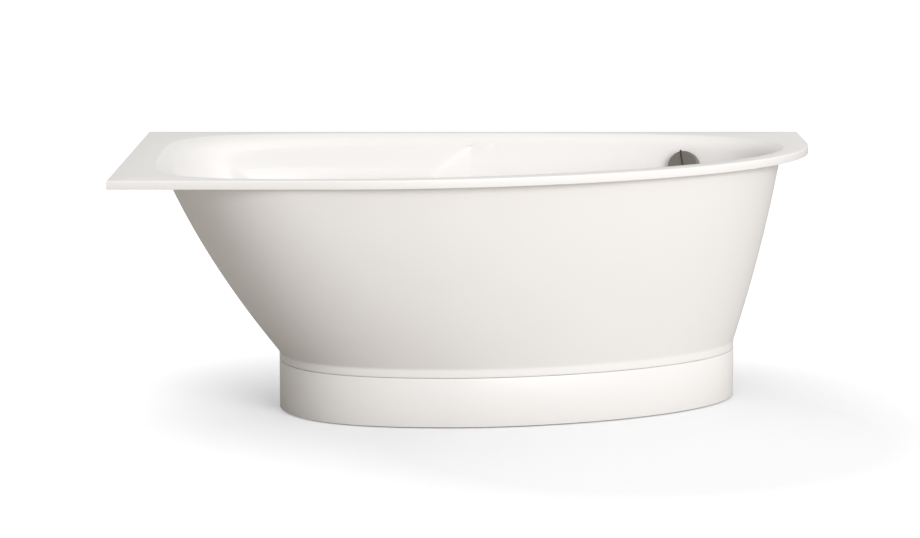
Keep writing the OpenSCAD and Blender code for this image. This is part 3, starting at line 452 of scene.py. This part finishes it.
def apron_shape(u, z, inset):
    """The apron at height z, which leans in and turns upright on a soft fold at the collar's top."""
    x = (APRON_TOP - z) / (APRON_TOP - COLLAR_TOP)
    if abs(x - 1) <= FOLD_SOFT:
        s = x - (x - 1 + FOLD_SOFT) ** 2 / (4 * FOLD_SOFT)
    else:
        s = min(x, 1.0)
    return raised(oval(grown(lerp(APRON, FOOT, bow(s)), -inset), u), z)


def apron_turn(t, z):
    """Where along the outline a column of the apron stands; its left end steps in below the step."""
    return (lerp(*APRON_ENDS, t)
            + (STEP_END - APRON_ENDS[0]) * (1 - t) ** 4 * smooth(0.5 - (z - STEP_HEIGHT) / STEP_SPAN))


def make_apron():
    t = np.linspace(0, 1, PANEL_COLUMNS)
    heights = np.concatenate([
        np.linspace(APRON_TOP, STEP_HEIGHT + STEP_ZONE, 16)[:-1],
        np.linspace(STEP_HEIGHT + STEP_ZONE, STEP_HEIGHT - STEP_ZONE, 13),
        np.linspace(STEP_HEIGHT - STEP_ZONE, COLLAR_TOP + 6, 26)[1:],
        np.linspace(COLLAR_TOP + 5, COLLAR_TOP - 5, 11),
        [APRON_BOTTOM + 6, APRON_BOTTOM + APRON_ROUND]])
    outside = [apron_shape(apron_turn(t, z), z, 0) for z in heights]
    outside += [apron_shape(apron_turn(t, APRON_BOTTOM), APRON_BOTTOM + 0.35, 0.35),
                apron_shape(apron_turn(t, APRON_BOTTOM), APRON_BOTTOM, APRON_ROUND)]
    inside = [apron_shape(apron_turn(t, z), z, PANEL) for z in [*heights, APRON_BOTTOM]]
    rows = outside + inside[::-1]
    n = len(t)
    faces = grid_faces(len(rows), n, closed_rows=True, closed_columns=False)
    # Ends of the strip, between each outside row and the inside row at its height
    half = len(outside)
    for column in (0, n - 1):
        ring = [r * n + column for r in range(len(rows))]
        for k in range(half - 2):
            faces.append([ring[k], ring[k + 1], ring[len(rows) - 2 - k], ring[len(rows) - 1 - k]])
        faces.append([ring[half - 2], ring[half - 1], ring[half]])
    piece = add("apron_panel", in_row(np.concatenate(rows)), faces)
    place(piece, "bath", "panel_acrylic", "apron")
    return piece


def make_plinth():
    u = np.linspace(STEP_END, APRON_ENDS[1], PANEL_COLUMNS)
    low, high, r = PLINTH_GAP, PLINTH_GAP + PLINTH, PLINTH_ROUND
    section = [(PANEL, low), (r, low), (r * 0.3, low + r * 0.3), (0, low + r), (0, high - r),
               (r * 0.3, high - r * 0.3), (r, high), (PANEL, high)]
    rows = [raised(oval(grown(FOOT, -inset), u), z) for inset, z in section]
    n = len(u)
    faces = grid_faces(len(rows), n, closed_rows=True, closed_columns=False)
    for column in (0, n - 1):
        faces.append([row * n + column for row in range(len(rows))])
    piece = add("plinth_panel", in_row(np.concatenate(rows)), faces)
    place(piece, "bath", "panel_acrylic", "plinth")
    return piece


# Knob
KNOB_RADIUS, KNOB_REACH, KNOB_SKIRT, KNOB_WALL = 37.5, 25, 5, 3
GRIP_TURN, GRIP_HALF, GRIP_HEIGHT, GRIP_ROUND, NUB_RADIUS = math.radians(13), 1.5, 3.0, 1.2, 2.4


def make_knob():
    knob_frame = along_overflow()
    face = [(0, KNOB_REACH - 0.5), (8, KNOB_REACH - 0.5), (20, KNOB_REACH - 0.4), (30, KNOB_REACH - 0.15),
            (34.5, KNOB_REACH), (35.6, KNOB_REACH - 0.1), (36.6, KNOB_REACH - 0.5), (37.2, KNOB_REACH - 1.1),
            (KNOB_RADIUS, KNOB_REACH - 2)]
    bore = KNOB_RADIUS - KNOB_WALL
    skirt = [(KNOB_RADIUS, KNOB_SKIRT + 0.5), (37.1, KNOB_SKIRT), (bore + 0.4, KNOB_SKIRT),
             (bore, KNOB_SKIRT + 0.4), (bore, KNOB_REACH - 5),
             (bore - 1, KNOB_REACH - 4), (9, KNOB_REACH - 4), (9, KNOB_SKIRT + 3.4),
             (8.6, KNOB_SKIRT + 3), (4.4, KNOB_SKIRT + 3), (4.05, KNOB_SKIRT + 3.4), (4.05, KNOB_REACH - 6),
             (0, KNOB_REACH - 6)]
    piece = turned("knob_cap", face + skirt, knob_frame, 128)
    place(piece, "knob", "knob_metal", "overflow_knob")
    # The grip is a strip with rounded edges, let into the face, that stands past the rim at the top; its
    # near-black finish is painted shade for the grip's shaded side
    half, length, height, r = GRIP_HALF, KNOB_RADIUS - 1.0, GRIP_HEIGHT, GRIP_ROUND
    section = [(-half, -0.6), (-half, height - r), (-half + 0.35 * r, height - 0.35 * r), (-half + r, height),
               (half - r, height), (half - 0.35 * r, height - 0.35 * r), (half, height - r), (half, -0.6)]
    stations = [(-KNOB_RADIUS - 3, 0.75, 0.55), (-KNOB_RADIUS - 2.2, 1, 0.8), (-KNOB_RADIUS - 1, 1, 0.95)]
    stations += [(x, 1, 1) for x in np.linspace(-KNOB_RADIUS, length - 4, 12)]
    stations += [(length - 2, 1, 0.9), (length - 0.8, 0.95, 0.6), (length, 0.8, 0.2)]
    rings = []
    for x, wide, tall in stations:
        ring = [(x, y * wide, KNOB_REACH + (z * tall if z > 0 else z)) for y, z in section]
        rings.append(np.array(ring) * MM)
    grip = ringed("knob_grip", rings, capped=True, sharp=40)
    grip_frame = knob_frame @ Matrix.Rotation(GRIP_TURN, 4, "Z")
    grip.data.transform(grip_frame)
    # The nub carries the grip down over the knob's edge
    nub_at = Matrix.Translation(Vector((-KNOB_RADIUS * MM, 0, (KNOB_REACH - 4.6) * MM)))
    nub = cylinder("nub", NUB_RADIUS, -1.2, 4.4, Matrix.Identity(4), 32)
    nub.data.transform(grip_frame @ nub_at)
    join(grip, [nub])
    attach(grip, "knob")
    return piece, grip


# Hose and cable
HOSE_BORE, HOSE_RIBS, RIB_HEIGHT, SPIGOT_DROP = 13, 60, 2.6, 46
HOSE_SKIN = HOSE_BORE + 1.2
HOSE_STRAIGHT = 2 * (HOSE_SKIN + RIB_HEIGHT)
BODY_FRONT, BODY_DEPTH, GLAND_LENGTH, GLAND_LAP = -15, 36, 12, 6
HOSE_HEADING, HOSE_REACH, PORT_Z = math.radians(88), 66, -42
CABLE_HEADING, GLAND_REACH = math.radians(160), 44
HOSE_SIDES, RIB_ROWS, CABLE_SIDES = 40, 8, 20
DOWN = np.array([0, 0, -1.0])
body_middle = hole_at - hole_normal * (BODY_FRONT + BODY_FRONT - BODY_DEPTH) / 2
waste_dir = np.array([math.cos(HOSE_HEADING), math.sin(HOSE_HEADING), 0])
hose_start = body_middle - np.array([0, 0, SPIGOT_DROP])
hose_end = np.array([*WASTE, FLOOR_Z + PORT_Z]) + waste_dir * HOSE_REACH
HOSE_PULL = (0.55 * (hose_start[2] - hose_end[2]), 0.48 * (hose_start[1] - hose_end[1]))


def hose_line(t):
    return bezier(
        hose_start + DOWN * HOSE_STRAIGHT, hose_start + DOWN * (HOSE_STRAIGHT + HOSE_PULL[0]),
        hose_end + waste_dir * (HOSE_STRAIGHT + HOSE_PULL[1]), hose_end + waste_dir * HOSE_STRAIGHT, t)


def tube_rings(line, radii, sides, start, end):
    """Rings round a line of points, without twist between them."""
    line = np.asarray(line, float)
    tangent = np.gradient(line, axis=0)
    tangent[0], tangent[-1] = start, end
    tangent = unit(tangent)
    side = unit(np.cross(tangent[0], [0.31, -0.4, 0.87]))
    rings = []
    a = np.linspace(0, 2 * math.pi, sides, endpoint=False)[:, None]
    for p, d, r in zip(line, tangent, radii):
        side = unit(side - d * np.dot(side, d))
        rings.append(p + r * (np.cos(a) * side + np.sin(a) * np.cross(d, side)))
    return rings


def make_hose():
    t = np.linspace(0, 1, HOSE_RIBS * RIB_ROWS + 1)
    line = [hose_start + DOWN * HOSE_STRAIGHT * s for s in (0, 0.5)] + [hose_line(v) for v in t]
    line += [hose_end + waste_dir * HOSE_STRAIGHT * s for s in (0.5, 0)]
    phase = (t * HOSE_RIBS) % 1
    crest = 0.5 + 0.5 * np.clip(1.6 * np.cos(2 * math.pi * (phase - 0.25)), -1, 1)
    radii = [HOSE_SKIN] * 2 + list(HOSE_SKIN + RIB_HEIGHT * crest) + [HOSE_SKIN] * 2
    outside = tube_rings(line, radii, HOSE_SIDES, DOWN, -waste_dir)
    bore = tube_rings(line, [HOSE_BORE] * len(line), HOSE_SIDES, DOWN, -waste_dir)
    inside = [bore[k] for k in (0, 1, *range(2, len(line) - 2, RIB_ROWS), len(line) - 2, len(line) - 1)]
    piece = ringed("ribbed_hose", [in_row(r) for r in outside + inside[::-1]], closed=True, sharp=60)
    place(piece, "bath", "hose_plastic", "overflow_hose")
    return piece


CABLE_RADIUS, CABLE_STRAIGHT = 2.5, 16
# Points between the lever and the knob: x from the waste in millimetres, then shares of the way in y and z
CABLE_RUN = [
    (-92, 0.144, 0), (-114, 0.288, 0.003), (-112, 0.528, 0.015), (-80, 0.736, 0.07), (-38, 0.889, 0.18),
    (-8, 0.979, 0.34), (8, 1.03, 0.54), (12, 1.068, 0.75), (15, 1.088, 0.89), (28, 1.081, 0.972)]


def cable_line():
    """The cable's smooth line with its directions at the lever and at the knob."""
    gland_turn = hole_heading - math.pi / 2
    gland_out = np.array([math.cos(gland_turn), math.sin(gland_turn), 0])
    gland_dir = np.array([math.cos(CABLE_HEADING), math.sin(CABLE_HEADING), 0])
    top = body_middle + gland_out * (OVERFLOW_RADIUS + GLAND_LENGTH - GLAND_LAP)
    foot = np.array([*WASTE, FLOOR_Z + PORT_Z]) + gland_dir * (GLAND_REACH - GLAND_LAP)
    route = [foot + gland_dir * CABLE_STRAIGHT * k for k in range(3)]
    for x, y, z in CABLE_RUN:
        route.append(np.array([WASTE[0] + x, lerp(WASTE[1], top[1], y), lerp(foot[2], top[2], z)]))
    route += [top + gland_out * CABLE_STRAIGHT * k for k in (2, 1, 0)]
    last = len(route) - 1
    line = []
    for k in range(last):
        a, b, c, d = route[max(0, k - 1)], route[k], route[k + 1], route[min(last, k + 2)]
        for t in np.linspace(0, 1, 10, endpoint=False):
            line.append(0.5 * (2 * b + (c - a) * t + (2 * a - 5 * b + 4 * c - d) * t**2
                               + (3 * b - a - 3 * c + d) * t**3))
    return np.array(line + [route[-1]]), gland_dir, -gland_out


def make_cable():
    line, start, end = cable_line()
    rings = tube_rings(line, [CABLE_RADIUS] * len(line), CABLE_SIDES, start, end)
    piece = ringed("cable_sheath", [in_row(r) for r in rings], capped=True, sharp=50)
    place(piece, "bath", "cable_sheath", "control_cable")
    return piece


# Materials
def material(name, color, roughness, metallic=0.0, vary=0.03, scale=6.0, bump=0.0, bump_scale=400.0,
             rough_vary=0.05, coat=0.0, coat_roughness=0.1, stretch=(1, 1, 1), pattern="noise",
             specular=0.5, subsurface=0.0):
    """A finish whose colour drifts by vary over the surface, with roughness and fine relief from noise."""
    m = bpy.data.materials.new(name)
    m.use_nodes = True
    tree = m.node_tree
    make, link = tree.nodes.new, tree.links.new
    shader = tree.nodes["Principled BSDF"]
    shader.inputs["Metallic"].default_value = metallic
    shader.inputs["Specular IOR Level"].default_value = specular
    shader.inputs["Coat Weight"].default_value = coat
    shader.inputs["Coat Roughness"].default_value = coat_roughness
    shader.inputs["Subsurface Weight"].default_value = subsurface
    place_node = make("ShaderNodeTexCoord")
    mapping = make("ShaderNodeMapping")
    mapping.inputs["Scale"].default_value = stretch
    link(place_node.outputs["Object"], mapping.inputs["Vector"])
    if pattern == "cells":
        broad = make("ShaderNodeTexVoronoi")
        grey = make("ShaderNodeSeparateColor")
        link(broad.outputs["Color"], grey.inputs["Color"])
        value = grey.outputs["Red"]
    else:
        broad = make("ShaderNodeTexNoise")
        broad.inputs["Detail"].default_value = 4
        value = broad.outputs["Fac"]
    broad.inputs["Scale"].default_value = scale
    link(mapping.outputs["Vector"], broad.inputs["Vector"])
    ramp = make("ShaderNodeValToRGB")
    low = [c * (1 - vary) for c in color]
    high = [min(1, c * (1 + vary)) for c in color]
    ramp.color_ramp.elements[0].position, ramp.color_ramp.elements[0].color = 0.25, (*low, 1)
    ramp.color_ramp.elements[1].position, ramp.color_ramp.elements[1].color = 0.75, (*high, 1)
    link(value, ramp.inputs["Fac"])
    link(ramp.outputs["Color"], shader.inputs["Base Color"])
    rough = make("ShaderNodeMapRange")
    rough.inputs["To Min"].default_value = max(0.02, roughness - rough_vary)
    rough.inputs["To Max"].default_value = roughness + rough_vary
    fine = make("ShaderNodeTexNoise")
    fine.inputs["Scale"].default_value = bump_scale
    fine.inputs["Detail"].default_value = 3
    link(mapping.outputs["Vector"], fine.inputs["Vector"])
    link(fine.outputs["Fac"], rough.inputs["Value"])
    link(rough.outputs["Result"], shader.inputs["Roughness"])
    if bump:
        relief = make("ShaderNodeBump")
        relief.inputs["Strength"].default_value = 0.6
        relief.inputs["Distance"].default_value = bump
        link(fine.outputs["Fac"], relief.inputs["Height"])
        link(relief.outputs["Normal"], shader.inputs["Normal"])
    return m


MATERIALS = {
    "bath_acrylic": material("bath_acrylic", (0.83, 0.825, 0.82), 0.42, vary=0.008, scale=3, bump=0.00002,
                             bump_scale=60, coat=0.04, coat_roughness=0.25, rough_vary=0.03, specular=0.3),
    "panel_acrylic": material("panel_acrylic", (0.83, 0.825, 0.82), 0.36, vary=0.008, scale=3, bump=0.00003,
                              bump_scale=60, coat=0.08, coat_roughness=0.2, rough_vary=0.03, specular=0.4),
    "board": material("board", (0.55, 0.40, 0.24), 0.75, vary=0.22, scale=130, bump=0.0003, bump_scale=220,
                      stretch=(1, 1, 2), pattern="cells"),
    "zinc_steel": material("zinc_steel", (0.60, 0.61, 0.62), 0.42, metallic=0.9, vary=0.10, scale=90,
                           pattern="cells", bump=0.00003, bump_scale=500),
    "fixings": material("fixings", (0.62, 0.62, 0.60), 0.35, metallic=0.95, vary=0.06, scale=200,
                        bump=0.00002, bump_scale=900),
    "foot_plastic": material("foot_plastic", (0.03, 0.03, 0.032), 0.55, vary=0.15, scale=60, bump=0.0001,
                             bump_scale=900),
    "chrome": material("chrome", (0.80, 0.80, 0.80), 0.08, metallic=1.0, vary=0.01, scale=20, bump=0.000005,
                       bump_scale=300, rough_vary=0.03),
    "seals": material("seals", (0.035, 0.035, 0.035), 0.8, vary=0.12, scale=200, bump=0.0001,
                      bump_scale=900),
    "fitting_plastic": material("fitting_plastic", (0.72, 0.72, 0.70), 0.38, vary=0.02, scale=25,
                                bump=0.00006, bump_scale=500),
    "pipe_plastic": material("pipe_plastic", (0.62, 0.62, 0.61), 0.42, vary=0.03, scale=25, bump=0.00005,
                             bump_scale=300),
    "hose_plastic": material("hose_plastic", (0.66, 0.66, 0.63), 0.42, vary=0.03, scale=30, bump=0.00006,
                             bump_scale=500, subsurface=0.05),
    "lever_plastic": material("lever_plastic", (0.72, 0.66, 0.52), 0.45, vary=0.05, scale=80, bump=0.00005,
                              bump_scale=600),
    "steel": material("steel", (0.62, 0.62, 0.63), 0.3, metallic=1.0, vary=0.05, scale=120, bump=0.00001,
                      bump_scale=700),
    "knob_metal": material("knob_metal", (0.20, 0.185, 0.165), 0.42, metallic=0.55, vary=0.05, scale=160,
                           bump=0.00002, bump_scale=1200, rough_vary=0.06),
    # Near-black; on the knob's grip this finish is painted shade for the grip's shaded side
    "black_steel": material("black_steel", (0.02, 0.02, 0.02), 0.45, metallic=0.2, vary=0.15, scale=200,
                            bump=0.00003, bump_scale=900),
    "cable_sheath": material("cable_sheath", (0.02, 0.02, 0.022), 0.5, vary=0.12, scale=80, bump=0.00005,
                             bump_scale=800),
    "brass": material("brass", (0.68, 0.50, 0.22), 0.35, metallic=1.0, vary=0.08, scale=150, bump=0.00002,
                      bump_scale=700),
}


def finish_with(piece, slot_name):
    piece.data.materials.clear()
    piece.data.materials.append(MATERIALS[slot_name])


# Assembly
pieces = {
    "bath_acrylic": [make_basin()],
    "panel_acrylic": [make_apron(), make_plinth()],
    "hose_plastic": [make_hose()],
    "cable_sheath": [make_cable()],
}
cap, grip = make_knob()
pieces["knob_metal"] = [cap]
# The grip's near-black finish is painted shade, standing in for its shaded side
pieces["black_steel"] = [grip]
for slot_name, group in pieces.items():
    for piece in group:
        finish_with(piece, slot_name)

NODE_SHARP = 30
for part in frame["record"]["subparts"]:
    node = nodes[part["node"]]
    for slot in node.material_slots:
        slot.material = MATERIALS[part["material_slot"]]
    node.data.shade_smooth()
    node.data.set_sharp_from_angle(angle=math.radians(NODE_SHARP))

# Floor, world and light
FLOOR_SIZE = 60
FLOOR_ALBEDO, FLOOR_TO_CAMERA = (0.52, 0.50, 0.47, 1), (0.79, 0.80, 0.81, 1)
# The floor's own light is dim near the tub and grows with the distance from a point: (distance, strength)
FADE_FROM, FADE_START, FADE_END = (0.36, -0.35, 0), (0.55, 0.12), (1.55, 0.62)
FLOOR_GLOW = (0.98, 1.0, 1.04, 1)


def make_floor():
    """A pale floor that shows the camera its shadows near the tub and fades to white away from it."""
    s = FLOOR_SIZE / 2
    mesh = bpy.data.meshes.new("floor")
    mesh.from_pydata([(-s, -s, 0), (s, -s, 0), (s, s, 0), (-s, s, 0)], [], [(0, 1, 2, 3)])
    floor = bpy.data.objects.new("floor", mesh)
    scene.collection.objects.link(floor)
    m = bpy.data.materials.new("floor")
    m.use_nodes = True
    tree = m.node_tree
    make, link = tree.nodes.new, tree.links.new
    tree.nodes.clear()
    out, total = make("ShaderNodeOutputMaterial"), make("ShaderNodeAddShader")
    diffuse, glow = make("ShaderNodeBsdfDiffuse"), make("ShaderNodeEmission")
    path, shade, strength = make("ShaderNodeLightPath"), make("ShaderNodeMixRGB"), make("ShaderNodeMath")
    where, distance = make("ShaderNodeNewGeometry"), make("ShaderNodeVectorMath")
    fade = make("ShaderNodeMapRange")
    shade.inputs[1].default_value, shade.inputs[2].default_value = FLOOR_ALBEDO, FLOOR_TO_CAMERA
    distance.operation, distance.inputs[1].default_value = "DISTANCE", FADE_FROM
    for k, (reach, glow_there) in enumerate((FADE_START, FADE_END)):
        fade.inputs[("From Min", "From Max")[k]].default_value = reach
        fade.inputs[("To Min", "To Max")[k]].default_value = glow_there
    strength.operation = "MULTIPLY"
    glow.inputs["Color"].default_value = FLOOR_GLOW
    link(path.outputs["Is Camera Ray"], shade.inputs["Fac"])
    link(shade.outputs[0], diffuse.inputs["Color"])
    link(where.outputs["Position"], distance.inputs[0])
    link(distance.outputs["Value"], fade.inputs["Value"])
    link(path.outputs["Is Camera Ray"], strength.inputs[0])
    link(fade.outputs["Result"], strength.inputs[1])
    link(strength.outputs["Value"], glow.inputs["Strength"])
    link(diffuse.outputs["BSDF"], total.inputs[0])
    link(glow.outputs["Emission"], total.inputs[1])
    link(total.outputs["Shader"], out.inputs["Surface"])
    mesh.materials.append(m)


# The sky's colour at the horizon and straight up, and what a step along x or y adds to it
AMBIENT_HORIZON, AMBIENT_ZENITH = (0.22, 0.2, 0.17), (1.04, 1.025, 1.005)
AMBIENT_SIDE = (0.15, -0.06, 0.0)
GLOSS_HORIZON, GLOSS_ZENITH = (0.55, 0.54, 0.52), (1.0, 0.99, 0.975)


def make_world():
    """White to the camera; a sky brighter above and to the front right for light and for reflections."""
    world = bpy.data.worlds.new("world")
    scene.world = world
    world.use_nodes = True
    tree = world.node_tree
    make, link = tree.nodes.new, tree.links.new
    tree.nodes.clear()
    out, path, where = make("ShaderNodeOutputWorld"), make("ShaderNodeLightPath"), make("ShaderNodeTexCoord")
    split, above = make("ShaderNodeSeparateXYZ"), make("ShaderNodeMath")
    link(where.outputs["Generated"], split.inputs[0])
    above.operation = "MAXIMUM"
    above.inputs[1].default_value = 0
    link(split.outputs["Z"], above.inputs[0])

    def sky(horizon, zenith, side):
        rise, lean, total = (make("ShaderNodeVectorMath") for _ in range(3))
        background = make("ShaderNodeBackground")
        rise.operation, lean.operation, total.operation = "MULTIPLY_ADD", "DOT_PRODUCT", "ADD"
        link(above.outputs[0], rise.inputs[0])
        rise.inputs[1].default_value = [z - h for h, z in zip(horizon, zenith)]
        rise.inputs[2].default_value = horizon
        link(where.outputs["Generated"], lean.inputs[0])
        lean.inputs[1].default_value = side
        link(rise.outputs[0], total.inputs[0])
        link(lean.outputs["Value"], total.inputs[1])
        link(total.outputs[0], background.inputs["Color"])
        return background

    white, shiny = make("ShaderNodeBackground"), make("ShaderNodeMath")
    white.inputs["Color"].default_value, white.inputs["Strength"].default_value = (1, 1, 1, 1), 1.0
    shiny.operation = "MAXIMUM"
    link(path.outputs["Is Glossy Ray"], shiny.inputs[0])
    link(path.outputs["Is Transmission Ray"], shiny.inputs[1])
    last = sky(AMBIENT_HORIZON, AMBIENT_ZENITH, AMBIENT_SIDE)
    for factor, background in ((shiny.outputs[0], sky(GLOSS_HORIZON, GLOSS_ZENITH, (0, 0, 0))),
                               (path.outputs["Is Camera Ray"], white)):
        mix = make("ShaderNodeMixShader")
        link(factor, mix.inputs["Fac"])
        link(last.outputs[0], mix.inputs[1])
        link(background.outputs[0], mix.inputs[2])
        last = mix
    link(last.outputs[0], out.inputs["Surface"])


def softbox(name, location, target, size, watts, color=(1, 1, 1)):
    data = bpy.data.lights.new(name, "AREA")
    data.shape = "RECTANGLE"
    data.size, data.size_y = size
    data.energy = watts
    data.color = color
    lamp = bpy.data.objects.new(name, data)
    lamp.location = location
    lamp.rotation_euler = (Vector(target) - Vector(location)).to_track_quat("-Z", "Y").to_euler()
    scene.collection.objects.link(lamp)


make_floor()
make_world()
softbox("key", (3.5, -6.2, 2.85), (0.1, -0.2, 0.35), (4.4, 3.4), 350, (1.0, 0.985, 1.0))

scene.view_settings.view_transform = "Standard"
